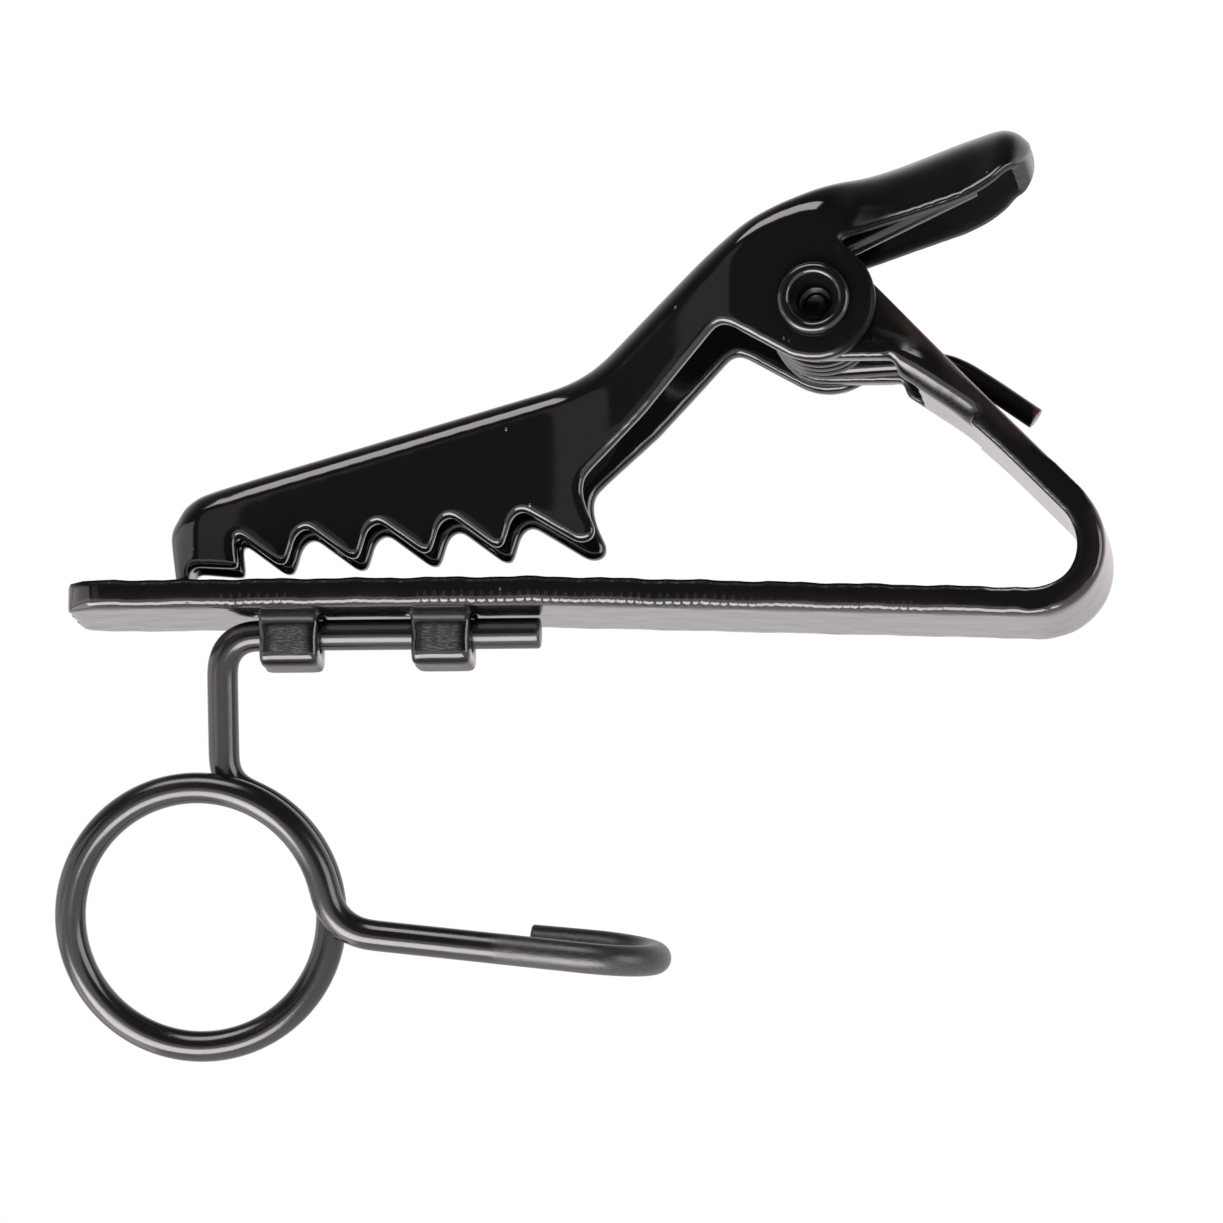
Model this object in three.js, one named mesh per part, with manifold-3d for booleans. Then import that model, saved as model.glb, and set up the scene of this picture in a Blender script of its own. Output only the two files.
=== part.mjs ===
// A lapel microphone clip: a bent strip and a toothed jaw that close on cloth, with a wire holder
// below them for the microphone and its cable.
//
// Axes: +X runs along the strip from the jaw's nose to the strip's bend, +Y goes across the strip
// and +Z points up, from the strip to the jaw. The origin lies on the strip's upper face, in the
// middle of its width, under the middle tooth. Millimetres, with the jaw closed.
import * as THREE from 'three';
import { mergeVertices } from 'three/addons/utils/BufferGeometryUtils.js';
import Module from 'manifold-3d';

const wasm = await Module();
wasm.setup();

// ---------------------------------------------------------------- driving dimensions

const STRIP = {
  width: 6.5,
  thickness: 1.1,
  tip: -13.85, // the free end, past the nose
  tipRadius: 1.4,
  kinkX: 4.4, // from here the strip slopes down slightly
  slope: THREE.MathUtils.degToRad(1.9),
  bendX: 26.34, // outermost point of the bend
  lowerBend: 2.75, // outer radius where the strip turns up
  upperBend: 3.05, // outer radius where it runs into the arm
  armAngle: THREE.MathUtils.degToRad(45),
  foldX: 21.9, // the arm's ears start here
  webEnd: [19.6, 8.25], // outer corner of the arm's cut end, between the ears
  foldRounding: 0.95, // outer radius where the ears fold up
};

const PIVOT = { x: 15.2, z: 10.5 };

const STRIP_EAR = { radius: 2.15, thickness: 1.0, rootX: 18.15, rootDrop: 0.6 };

const LUG = {
  width: 2.3, // along X
  starts: [-6.5, -0.6], // left side of each lug
  halfSpan: 1.45, // across Y, outside
  windowHalf: 1.5, // the strip's window that the lug is pressed out of
  flare: 1.95, // half width where it meets the strip
  bottom: -3.08,
  corner: 0.42,
  flareDrop: 0.22, // the flare ends this far below the strip
  slotRadius: 0.68, // round the holder's shaft
};

const JAW = {
  sheet: 0.8,
  earRadius: 2.38,
  boreRadius: 1.16,
  toothPitch: 2.82,
  toothHeight: 1.34,
  toothLean: 1.84, // from a valley to the next tip
  toothTip: 0.34, // width of the blunt tip
  firstValley: [-7.45, 2.05],
  rootSlope: 0.057, // the row of teeth rises to the right
  noseWall: -9.1, // the hollow starts here
  endWall: 22.6, // and ends here
  noseFoot: [-9.8, 0.12], // lowest point of the nose's front
  noseFront: [-10.04, 1.9], // its foremost point
  lastToothHeight: 1.26,
  neckBend: [8.6, 6.35], // where the neck's lower edge steepens
  neckTop: [11.35, 9.55], // where it meets the ear
  handleStart: [16.1, 12.9], // notch between the ear and the handle's side edge
  handleBend: [20.4, 14.33], // where that edge starts to curve up
  handleFoot: [22.55, 15.75], // and where it meets the end wall
};

// How the jaw's section changes along X. Each list holds [x, value] knots, and the corners between
// them are eased over a short stretch.
const JAW_LINES = {
  top: [
    [-10.2, 1.9], [-9.7, 3.15], [-9.1, 3.6], [-8.4, 3.82], [5.2, 7.58], [6.0, 7.9], [6.8, 8.42],
    [11.0, 12.47], [12.6, 13.8], [13.8, 14.43], [16.0, 15.36], [20.6, 17.23], [22.1, 17.72],
    [22.7, 17.67], [23.1, 17.4], [23.4, 16.9],
  ],
  halfWidth: [
    [-10.3, 0.5], [-9.8, 1.0], [-9.3, 1.35], [-7.4, 1.62], [5.2, 2.5], [7.0, 2.85], [10.0, 3.72],
    [12.0, 4.15], [17.8, 4.15], [19.0, 3.97], [20.5, 3.85], [22.2, 3.6], [22.9, 3.2], [23.4, 2.4],
  ],
  foldRadius: [
    [-10.2, 0.6], [-9.0, 0.95], [13.8, 0.95], [15.2, 1.2], [16.2, 1.9], [17.2, 3.1], [18.0, 3.4],
    [22.0, 3.2], [23.4, 2.2],
  ],
  // the wall's lean outwards in degrees: none at the teeth and ears, a roof on the thumb handle
  lean: [[15.4, 0], [16.1, 6], [16.9, 30], [18.2, 38]],
  // from the top down to the handle's side edge
  depth: [[-9.0, 2.0], [6.0, 2.8], [20.4, 2.88], [21.6, 2.67], [22.2, 2.26], [22.8, 1.6], [23.4, 1.2]],
};

const RIVET = {
  radius: 1.1,
  bore: 0.66,
  boreDepth: 1.15, // a blind hole in the rolled end
  mouth: 0.9,
  flange: 1.4,
  flangeThickness: 0.36,
  headRadius: 1.5, // the factory head on the far side
  headHeight: 0.42,
  seat: 4.2, // from the middle to the underside of each end
};

const SPRING = {
  wire: 0.85,
  coilRadius: 1.75,
  pitch: 0.9, // from turn to turn
  fullTurns: 3,
  armLeg: 1.55, // Y of the leg on the arm
  handleLegAngle: THREE.MathUtils.degToRad(25.8),
  handleLegLength: 7.4,
};

const HOLDER = {
  wire: 1.2,
  shaftZ: -1.75,
  shaftEnd: 4.2,
  shaftBend: 1.25,
  stemX: -8.1,
  stemBend: 1.3,
  ringRadius: 5.07, // to the middle of the wire
  ringX: -9.05,
  ringDrop: 10.85, // from the shaft to the ring's centre
  ringPitch: 1.25,
  armBend: 1.9,
  armAngle: THREE.MathUtils.degToRad(10), // where the wire leaves the ring
  armSlope: THREE.MathUtils.degToRad(6.5),
  hookX: 6.05,
  hookRadius: 2.45,
  hookEnd: 3.5,
  swivel: THREE.MathUtils.degToRad(13), // the ring's foot stands away to +Y
};

// ---------------------------------------------------------------- solids

// A closed geometry as a solid that can be joined and cut.
function solid(geometry) {
  const bare = geometry.clone();
  bare.deleteAttribute('normal');
  bare.deleteAttribute('uv');
  const merged = mergeVertices(bare, 1e-5);
  return new wasm.Manifold(new wasm.Mesh({
    numProp: 3,
    vertProperties: new Float32Array(merged.attributes.position.array),
    triVerts: new Uint32Array(merged.index.array),
  }));
}

function meshOf(name, body, look) {
  const { vertProperties, triVerts } = body.getMesh();
  const geometry = new THREE.BufferGeometry();
  geometry.setAttribute('position', new THREE.BufferAttribute(vertProperties, 3));
  geometry.setIndex(new THREE.BufferAttribute(triVerts, 1));
  geometry.computeVertexNormals();
  const mesh = new THREE.Mesh(geometry, new THREE.MeshStandardMaterial(look));
  mesh.name = name;
  return mesh;
}

// A side view (X, Z) made as deep as from y0 to y1.
function sideSlab(shape, y0, y1, curveSegments = 12) {
  const slab = new THREE.ExtrudeGeometry(shape, { depth: y1 - y0, bevelEnabled: false, curveSegments });
  slab.rotateX(Math.PI / 2);
  slab.translate(0, y1, 0);
  return solid(slab);
}

// A cross-section (Y, Z) run along X from x0 to x1.
function crossSlab(shape, x0, x1, curveSegments = 8) {
  const slab = new THREE.ExtrudeGeometry(shape, { depth: x1 - x0, bevelEnabled: false, curveSegments });
  slab.rotateX(Math.PI / 2);
  slab.rotateZ(Math.PI / 2);
  slab.translate(x0, 0, 0);
  return solid(slab);
}

function box(x0, x1, y0, y1, z0, z1) {
  const block = new THREE.BoxGeometry(x1 - x0, y1 - y0, z1 - z0);
  block.translate((x0 + x1) / 2, (y0 + y1) / 2, (z0 + z1) / 2);
  return solid(block);
}

// A pin along Y through the pivot.
function pivotPin(radius, y0, y1, sides = 32) {
  const pin = new THREE.CylinderGeometry(radius, radius, y1 - y0, sides);
  pin.translate(PIVOT.x, (y0 + y1) / 2, PIVOT.z);
  return solid(pin);
}

// A round wire along a list of points.
function wire(points, diameter, steps, sides = 10) {
  const section = new THREE.Shape();
  section.absarc(0, 0, diameter / 2, 0, 2 * Math.PI);
  const extrudePath = new THREE.CatmullRomCurve3(points, false, 'centripetal');
  extrudePath.arcLengthDivisions = 8 * points.length;
  return solid(new THREE.ExtrudeGeometry(section, { steps, extrudePath, curveSegments: sides }));
}

const at = (centre, radius, angle) => [
  centre[0] + radius * Math.cos(angle),
  centre[1] + radius * Math.sin(angle),
];

const between = (a, b, share) => [a[0] + (b[0] - a[0]) * share, a[1] + (b[1] - a[1]) * share];

// ---------------------------------------------------------------- base strip

// The strip's own line, seen from the side: along the plate, round the bend and up the arm.
function stripSide() {
  const { thickness, tip, kinkX, slope, bendX, lowerBend, upperBend, armAngle, foldX, webEnd } = STRIP;
  const lowX = bendX - lowerBend;
  const bendZ = lowerBend / Math.cos(slope) - thickness - (lowX - kinkX) * Math.tan(slope);
  const highX = bendX - upperBend;
  const armOuter = at([highX, bendZ], upperBend, armAngle);
  const fold = [foldX, armOuter[1] + (armOuter[0] - foldX) / Math.tan(armAngle)];

  // The web leans back from the fold; its inner face is parallel, one thickness in.
  const lean = Math.atan2(webEnd[1] - fold[1], fold[0] - webEnd[0]);
  const inward = [-Math.sin(lean) * thickness, -Math.cos(lean) * thickness];
  const armInner = at([highX, bendZ], upperBend - thickness, armAngle);
  const innerSum = armInner[0] + armInner[1];
  const webInner = [webEnd[0] + inward[0], webEnd[1] + inward[1]];
  const foldInnerX = (innerSum - webInner[1] - webInner[0] * Math.tan(lean)) / (1 - Math.tan(lean));
  const foldInner = [foldInnerX, innerSum - foldInnerX];

  const side = new THREE.Shape();
  side.moveTo(tip, -thickness);
  side.lineTo(kinkX, -thickness);
  side.absarc(lowX, bendZ, lowerBend, -Math.PI / 2 - slope, 0);
  side.absarc(highX, bendZ, upperBend, 0, armAngle);
  side.lineTo(...fold);
  side.lineTo(...webEnd);
  side.lineTo(...webInner);
  side.lineTo(...between(webInner, foldInner, 0.45));
  side.quadraticCurveTo(...foldInner, ...between(foldInner, armInner, 0.5));
  side.lineTo(...armInner);
  side.absarc(highX, bendZ, upperBend - thickness, armAngle, 0, true);
  side.absarc(lowX, bendZ, lowerBend - thickness, 0, -Math.PI / 2 - slope, true);
  side.lineTo(kinkX, 0);
  side.lineTo(tip, 0);
  return { side, fold, foldInner, webInner, lean };
}

// An ear's outline: a disc round the rivet that runs into the arm.
function earSide({ fold, foldInner, webInner, lean }) {
  const { radius, rootX, rootDrop } = STRIP_EAR;
  const bottom = PIVOT.z - radius;
  const rootZ = bottom - rootDrop;
  const innerX = webInner[0] - (rootZ - webInner[1]) / Math.tan(lean);
  const ear = new THREE.Shape();
  ear.moveTo(rootX, bottom);
  ear.lineTo(innerX, rootZ);
  ear.lineTo(...webInner);
  ear.lineTo(...between(foldInner, fold, 0.5));
  ear.lineTo(...fold);
  ear.absarc(PIVOT.x, PIVOT.z, radius, Math.PI / 4, 1.5 * Math.PI);
  return ear;
}

// The strip from above: its free end has rounded corners.
function stripPlan() {
  const { width, tip, tipRadius } = STRIP;
  const half = width / 2;
  const plan = new THREE.Shape();
  plan.moveTo(STRIP.bendX + 1, -half);
  plan.lineTo(STRIP.bendX + 1, half);
  plan.absarc(tip + tipRadius, half - tipRadius, tipRadius, Math.PI / 2, Math.PI);
  plan.absarc(tip + tipRadius, tipRadius - half, tipRadius, Math.PI, 1.5 * Math.PI);
  const slab = new THREE.ExtrudeGeometry(plan, { depth: 30, bevelEnabled: false, curveSegments: 6 });
  slab.translate(0, 0, -10);
  return solid(slab);
}

// A lug is a strap pressed down out of the strip: it hangs in a U round the holder's shaft.
function lugSection() {
  const { halfSpan, flare, flareDrop, bottom, corner, slotRadius } = LUG;
  const root = -STRIP.thickness + 0.25;
  const slot = new THREE.Shape();
  slot.moveTo(-flare, root);
  slot.lineTo(-halfSpan, -STRIP.thickness - flareDrop);
  slot.absarc(corner - halfSpan, bottom + corner, corner, Math.PI, 1.5 * Math.PI);
  slot.absarc(halfSpan - corner, bottom + corner, corner, 1.5 * Math.PI, 2 * Math.PI);
  slot.lineTo(halfSpan, -STRIP.thickness - flareDrop);
  slot.lineTo(flare, root);
  slot.lineTo(slotRadius, root);
  slot.absarc(0, HOLDER.shaftZ, slotRadius, 0, -Math.PI, true);
  slot.lineTo(-slotRadius, root);
  return slot;
}

// What is cut off to round the near edge of the web's inner face, where the sheet folds up into an ear.
function foldRounding({ foldInner, webInner }) {
  const { width, foldRounding: radius } = STRIP;
  const corner = new THREE.Shape();
  corner.moveTo(-0.3, -0.3);
  corner.lineTo(radius, -0.3);
  corner.lineTo(radius, 0);
  corner.absarc(radius, radius, radius, -Math.PI / 2, -Math.PI, true);
  corner.lineTo(-0.3, radius);

  // the shape's X runs across the strip, its Y into the sheet and its depth along the fold
  const start = new THREE.Vector3(webInner[0], -width / 2, webInner[1]);
  const end = new THREE.Vector3(foldInner[0], -width / 2, foldInner[1]);
  const along = end.clone().sub(start).normalize();
  const across = new THREE.Vector3(0, 1, 0);
  const into = new THREE.Vector3().crossVectors(along, across);
  start.addScaledVector(along, -1.5);
  const cut = new THREE.ExtrudeGeometry(corner, {
    depth: start.distanceTo(end),
    bevelEnabled: false,
    curveSegments: 8,
  });
  cut.applyMatrix4(new THREE.Matrix4().makeBasis(across, into, along).setPosition(start));
  return solid(cut);
}

function baseStrip() {
  const line = stripSide();
  const half = STRIP.width / 2;
  const ear = earSide(line);
  let body = sideSlab(line.side, -half, half, 20).intersect(stripPlan());
  body = body.add(sideSlab(ear, -half, STRIP_EAR.thickness - half));
  body = body.add(sideSlab(ear, half - STRIP_EAR.thickness, half));
  const rounding = foldRounding(line);
  body = body.subtract(rounding).subtract(rounding.mirror([0, 1, 0]));
  for (const start of LUG.starts) {
    body = body.subtract(box(start, start + LUG.width, -LUG.windowHalf, LUG.windowHalf, -2, 1));
    body = body.add(crossSlab(lugSection(), start, start + LUG.width));
  }
  return body.subtract(pivotPin(RIVET.radius + 0.05, -5, 5));
}

// ---------------------------------------------------------------- jaw

// The jaw from the side: nose, teeth, neck, ears and thumb handle. Its upper line only has to clear
// the folded sheet, which jawLoft shapes.
function jawSide() {
  const { firstValley, toothPitch, toothHeight, toothLean, toothTip, rootSlope, earRadius } = JAW;
  const { noseFoot, noseFront, lastToothHeight, neckBend, neckTop } = JAW;
  const { handleStart, handleBend, handleFoot } = JAW;
  const rootZ = (x) => firstValley[1] + rootSlope * (x - firstValley[0]);
  const side = new THREE.Shape();
  side.moveTo(noseFoot[0] + 0.5, noseFoot[1]);
  side.lineTo(-9.2, 0.82);
  side.lineTo(-7.3, 0.68);
  for (let i = 0; i < 4; i += 1) {
    const valley = firstValley[0] + i * toothPitch;
    const tip = valley + toothLean;
    const next = valley + toothPitch;
    side.lineTo(valley, rootZ(valley));
    side.lineTo(tip - toothTip / 2, rootZ(tip) - toothHeight);
    side.lineTo(tip + toothTip / 2, rootZ(tip) - toothHeight);
    side.lineTo(tip + 0.36, rootZ(tip) - 0.75);
    side.quadraticCurveTo(tip + 0.48, rootZ(tip) - 0.05, next - 0.1, rootZ(next));
  }

  // the last, larger tooth and the neck behind it
  const last = firstValley[0] + 4 * toothPitch;
  side.lineTo(last, rootZ(last));
  side.lineTo(last + 2.1, rootZ(last) - lastToothHeight);
  side.quadraticCurveTo(last + 2.9, rootZ(last) - 1.38, last + 2.82, rootZ(last) - 0.7);
  side.quadraticCurveTo(last + 2.0, rootZ(last) + 0.75, last + 2.48, 4.1);
  side.lineTo(...neckBend);
  side.lineTo(...neckTop);
  side.quadraticCurveTo(neckTop[0] + 0.25, neckTop[1] + 0.2, neckTop[0] + 0.65, neckTop[1]);

  // the ear, the handle's side edge and its closed end
  side.absarc(PIVOT.x, PIVOT.z, earRadius, -0.64 * Math.PI, 0.2 * Math.PI);
  side.lineTo(...handleStart);
  side.lineTo(...handleBend);
  side.quadraticCurveTo(handleBend[0] + 1.5, handleBend[1] + 0.57, ...handleFoot);
  side.lineTo(handleFoot[0] + 0.35, handleFoot[1] + 0.1);
  side.quadraticCurveTo(23.65, 16.6, 23.2, 17.3);
  side.lineTo(22.6, 19);
  side.lineTo(-8.9, 5);

  // the nose's front
  side.lineTo(-8.9, 3.72);
  side.quadraticCurveTo(-10.15, 3.25, ...noseFront);
  side.lineTo(...noseFoot);
  return side;
}

// The value that a list of [x, value] knots gives at x, its corners eased.
function eased(knots, x) {
  const reach = 0.4;
  let sum = 0;
  for (let i = -4; i <= 4; i += 1) {
    const at0 = x + (i * reach) / 4;
    const next = knots.findIndex(([knot]) => knot > at0);
    if (next === 0) sum += knots[0][1];
    else if (next < 0) sum += knots[knots.length - 1][1];
    else {
      const [[x0, v0], [x1, v1]] = knots.slice(next - 1, next + 1);
      sum += v0 + ((v1 - v0) * (at0 - x0)) / (x1 - x0);
    }
  }
  return sum / 9;
}

// The folded sheet's section at x, from the left foot over the top to the right foot. An inset
// section is the hollow below a sheet of that thickness.
function jawSection(x, inset) {
  const foldSteps = 7;
  const floor = -3;
  const [top, width, radius, depth] = ['top', 'halfWidth', 'foldRadius', 'depth']
    .map((line) => eased(JAW_LINES[line], x));
  const lean = THREE.MathUtils.degToRad(eased(JAW_LINES.lean, x));
  const slope = (eased(JAW_LINES.top, x + 0.2) - eased(JAW_LINES.top, x - 0.2)) / 0.4;
  const rise = inset * (Math.hypot(1, slope) - 1);

  const wallDrop = Math.max(depth - radius * (1 - Math.sin(lean)), 0.05);
  const flat = Math.max(width - radius * Math.cos(lean) - wallDrop * Math.tan(lean), 0.02);
  const r = Math.max(radius - inset, 0.1);
  const shift = r - (radius - inset);
  const half = [];
  for (let i = 0; i <= foldSteps; i += 1) {
    const angle = Math.PI / 2 + (i / foldSteps) * (lean - Math.PI / 2);
    half.push([flat - shift + r * Math.cos(angle), top - rise - radius - shift + r * Math.sin(angle)]);
  }
  const foot = flat + radius * Math.cos(lean) + wallDrop * Math.tan(lean) - inset * Math.cos(lean);
  half.push([foot, top - radius * (1 - Math.sin(lean)) - wallDrop - inset * Math.sin(lean)]);
  half.push([foot, floor]);
  return [...half.map(([y, z]) => [x, -y, z]).reverse(), ...half.map(([y, z]) => [x, y, z])];
}

// The solid under the folded sheet between two places along X, or the hollow below the sheet.
function jawLoft(from, to, inset) {
  const count = Math.ceil((to - from) / 0.5);
  const rings = [];
  for (let i = 0; i <= count; i += 1) {
    rings.push(jawSection(from + ((to - from) * i) / count, inset));
  }
  const n = rings[0].length;
  const index = [];
  for (let s = 0; s + 1 < rings.length; s += 1) {
    for (let i = 0; i < n; i += 1) {
      const a = s * n + i;
      const b = s * n + ((i + 1) % n);
      index.push(a, b + n, b, a, a + n, b + n);
    }
  }
  const end = (rings.length - 1) * n;
  for (let i = 1; i + 1 < n; i += 1) {
    index.push(0, i, i + 1, end, end + i + 1, end + i);
  }
  const geometry = new THREE.BufferGeometry();
  geometry.setAttribute('position', new THREE.Float32BufferAttribute(rings.flat(2), 3));
  geometry.setIndex(index);
  return solid(geometry);
}

function jaw() {
  return sideSlab(jawSide(), -5, 5, 8)
    .intersect(jawLoft(-10.5, 23.8, 0))
    .subtract(jawLoft(JAW.noseWall, JAW.endWall, JAW.sheet))
    .subtract(pivotPin(JAW.boreRadius, -5, 5));
}

// ---------------------------------------------------------------- rivet

// A semi-tubular rivet along Y: its near end has a blind hole and is rolled out over the jaw's ear,
// and its far end is a low domed head.
function rivet() {
  const { radius, bore, boreDepth, mouth, flange, flangeThickness, headRadius, headHeight, seat } = RIVET;
  const end = seat + flangeThickness;
  const profile = [[0, boreDepth - end], [bore, boreDepth - end], [bore, 0.3 - end]];
  profile.push([mouth, -end], [flange - 0.12, -end], [flange, 0.12 - end], [flange, -seat]);
  profile.push([radius, -seat], [radius, seat], [headRadius, seat], [headRadius, seat + 0.1]);
  for (const share of [0.75, 0.5, 0.25]) {
    profile.push([headRadius * share, seat + 0.1 + (headHeight - 0.1) * (1 - share * share)]);
  }
  profile.push([0, seat + headHeight]);
  const turned = new THREE.LatheGeometry(profile.map(([r, y]) => new THREE.Vector2(r, y)), 32);
  turned.translate(PIVOT.x, 0, PIVOT.z);
  return solid(turned);
}

// ---------------------------------------------------------------- spring

// A torsion spring: one leg lies on the arm, the coil goes round the rivet, and the other leg
// pushes up inside the handle.
function spring() {
  const { coilRadius, pitch, fullTurns, armLeg, handleLegAngle, handleLegLength } = SPRING;
  const points = [
    [23.35, armLeg, 6.72],
    [21.8, armLeg, 7.8],
    [20.7, armLeg, 8.52],
    [20.0, armLeg, 8.84],
    [19.2, armLeg, 8.95],
    [17.5, armLeg, 8.88],
  ];
  const start = 1.5 * Math.PI;
  const turn = Math.PI - handleLegAngle + 2 * Math.PI * fullTurns;
  const stepCount = 15 * fullTurns;
  for (let i = 0; i <= stepCount; i += 1) {
    const swept = (turn * i) / stepCount;
    const y = armLeg - (pitch * swept) / (2 * Math.PI);
    points.push([
      PIVOT.x + coilRadius * Math.cos(start - swept),
      y,
      PIVOT.z + coilRadius * Math.sin(start - swept),
    ]);
  }
  const [x, y, z] = points[points.length - 1];
  for (const along of [0.35, 0.7, 1]) {
    const run = along * handleLegLength;
    points.push([x + run * Math.cos(handleLegAngle), y, z + run * Math.sin(handleLegAngle)]);
  }
  return wire(points.map((p) => new THREE.Vector3(...p)), SPRING.wire, 90, 4);
}

// ---------------------------------------------------------------- microphone holder

// One wire: a shaft in the lugs, a stem, a little over one turn of ring, an arm and a cable hook.
// The path is drawn hanging straight down (x, towards -Y, height above the shaft), then swivelled.
function holder() {
  const h = HOLDER;
  const ring = [h.ringX, -h.ringDrop];
  const path = [[h.shaftEnd, 0, 0], [0, 0, 0], [h.stemX + h.shaftBend + 0.6, 0, 0]];
  const sweep = (centre, radius, from, to, steps, out) => {
    for (let i = 0; i <= steps; i += 1) {
      const angle = from + ((to - from) * i) / steps;
      const [x, z] = at(centre, radius, angle);
      path.push([x, out(i / steps), z]);
    }
  };
  sweep([h.stemX + h.shaftBend, -h.shaftBend], h.shaftBend, Math.PI / 2, Math.PI, 4, () => 0);

  // The stem bends outward and meets the ring where the two arcs touch.
  const meet = Math.acos((h.stemX + h.stemBend - h.ringX) / (h.ringRadius + h.stemBend));
  const stemArc = at(ring, h.ringRadius + h.stemBend, meet);
  sweep(stemArc, h.stemBend, Math.PI, Math.PI + meet - 0.2, 4, () => 0);

  const turn = 2 * Math.PI + meet - h.armAngle;
  const lift = (h.ringPitch * turn) / (2 * Math.PI);
  sweep(ring, h.ringRadius, meet - 0.1, meet - turn + 0.1, 40, (s) => lift * s);

  const armArc = at(ring, h.ringRadius + h.armBend, h.armAngle);
  sweep(armArc, h.armBend, Math.PI + h.armAngle + 0.15, 1.5 * Math.PI - h.armSlope, 4, () => lift);

  // The hook turns away to +Y and comes back beside the arm.
  const armStart = path[path.length - 1];
  const armZ = (x) => armStart[2] - (x - armStart[0]) * Math.tan(h.armSlope);
  path.push([1.5, lift, armZ(1.5)], [h.hookX - 1, lift, armZ(h.hookX - 1)]);
  for (let i = 0; i <= 8; i += 1) {
    const angle = Math.PI / 2 - (i / 8) * Math.PI;
    const x = h.hookX + h.hookRadius * Math.cos(angle);
    path.push([x, lift - h.hookRadius + h.hookRadius * Math.sin(angle), armZ(x)]);
  }
  const [, farOut, farZ] = path[path.length - 1];
  path.push([h.hookX - 1, farOut, farZ + 0.1], [h.hookEnd, farOut, farZ + 0.25]);

  const spin = new THREE.Matrix4().makeRotationX(h.swivel);
  const points = path.map(([x, out, z]) => new THREE.Vector3(x, -out, z).applyMatrix4(spin));
  points.forEach((p) => { p.z += h.shaftZ; });
  return wire(points, h.wire, 96, 5);
}

// ---------------------------------------------------------------- the clip

const lacquer = { color: 0x0d0d10, roughness: 0.14, metalness: 0.0 };
const clip = new THREE.Group();
clip.add(
  meshOf('base_strip', baseStrip(), lacquer),
  meshOf('jaw', jaw(), lacquer),
  meshOf('pivot_rivet', rivet(), { ...lacquer, color: 0x0f0f12 }),
  meshOf('torsion_spring', spring(), { color: 0x121214, roughness: 0.22, metalness: 0.2 }),
  meshOf('microphone_holder', holder(), lacquer),
);

export default clip;
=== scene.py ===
# Looks for the lapel microphone clip: black lacquered steel on a plain pale set.
# The strip and the jaw are fine copies of their CAD solids with rounded, lacquered edges; the rivet,
# the spring and the wire holder are modelled here from their own lines. The object's lengths below
# are in millimetres, in the CAD's frame, and every finished mesh is scaled to metres. The lamps and
# the floor are placed in metres.
import math

import bmesh
import bpy
import numpy as np
from mathutils import Euler, Matrix, Vector
from mathutils.kdtree import KDTree

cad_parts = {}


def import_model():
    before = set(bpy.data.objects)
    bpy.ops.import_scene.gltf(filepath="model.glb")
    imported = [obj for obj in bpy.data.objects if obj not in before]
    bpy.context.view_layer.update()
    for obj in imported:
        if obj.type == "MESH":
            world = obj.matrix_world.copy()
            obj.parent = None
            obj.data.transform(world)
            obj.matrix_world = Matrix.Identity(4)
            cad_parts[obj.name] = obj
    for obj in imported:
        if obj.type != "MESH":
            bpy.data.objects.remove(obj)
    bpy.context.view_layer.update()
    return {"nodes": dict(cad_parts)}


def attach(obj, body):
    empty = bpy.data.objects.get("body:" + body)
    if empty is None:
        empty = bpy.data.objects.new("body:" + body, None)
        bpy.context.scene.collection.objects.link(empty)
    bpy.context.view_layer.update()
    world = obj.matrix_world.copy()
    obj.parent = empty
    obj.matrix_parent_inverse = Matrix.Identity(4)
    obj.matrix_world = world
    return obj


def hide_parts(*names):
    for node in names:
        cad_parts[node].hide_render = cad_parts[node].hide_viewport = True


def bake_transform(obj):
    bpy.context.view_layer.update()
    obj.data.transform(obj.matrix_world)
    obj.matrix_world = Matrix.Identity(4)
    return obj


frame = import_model()
MM = 0.001

PIVOT = Vector((15.2, 0.0, 10.5))

# the same wire lines as the CAD's
HOLDER = {
    "wire": 1.2,
    "shaft_z": -1.75,
    "shaft_end": 4.2,
    "shaft_bend": 1.25,
    "stem_x": -8.1,
    "stem_bend": 1.3,
    "ring_radius": 5.07,
    "ring_x": -9.05,
    "ring_drop": 10.85,
    "ring_pitch": 1.25,
    "arm_bend": 1.9,
    "arm_angle": math.radians(10),
    "arm_slope": math.radians(6.5),
    "hook_x": 6.05,
    "hook_radius": 2.45,
    "hook_end": 3.5,
    "swivel": math.radians(13),
}

SPRING = {
    "wire": 0.85,
    "coil_radius": 1.75,
    "pitch": 0.9,
    "full_turns": 3,
    "arm_leg": 1.55,
    "handle_angle": math.radians(25.8),
    "handle_length": 7.4,
}

RIVET = {
    "radius": 1.1,
    "bore": 0.7,
    "bore_depth": 1.7,
    "pip": 0.44,  # the smaller circle at the bottom of the bore
    "mouth": 0.98,
    "flange": 1.4,
    "seat": 4.2,
    "collar": 0.34,  # how far the rolled end stands up
    "far_head": 1.5,
    "far_rim": 0.08,
    "far_dome": 0.34,
}

CAMERA = {
    "azimuth": 5.5,
    "elevation": -8.84,
    "roll": math.radians(0.29),
    "lens": 368.9,
    "sensor": 36,
    "place": (52.917, -476.234, -75.339),
}


# ------------------------------------------------------------------ mesh helpers

def link(obj):
    bpy.context.scene.collection.objects.link(obj)
    return obj


def apply_modifiers(obj):
    """Bakes the object's modifiers into its mesh."""
    graph = bpy.context.evaluated_depsgraph_get()
    mesh = bpy.data.meshes.new_from_object(obj.evaluated_get(graph))
    obj.modifiers.clear()
    obj.data = mesh
    return obj


def coordinates(obj):
    co = np.empty(len(obj.data.vertices) * 3)
    obj.data.vertices.foreach_get("co", co)
    return co.reshape(-1, 3)


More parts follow.
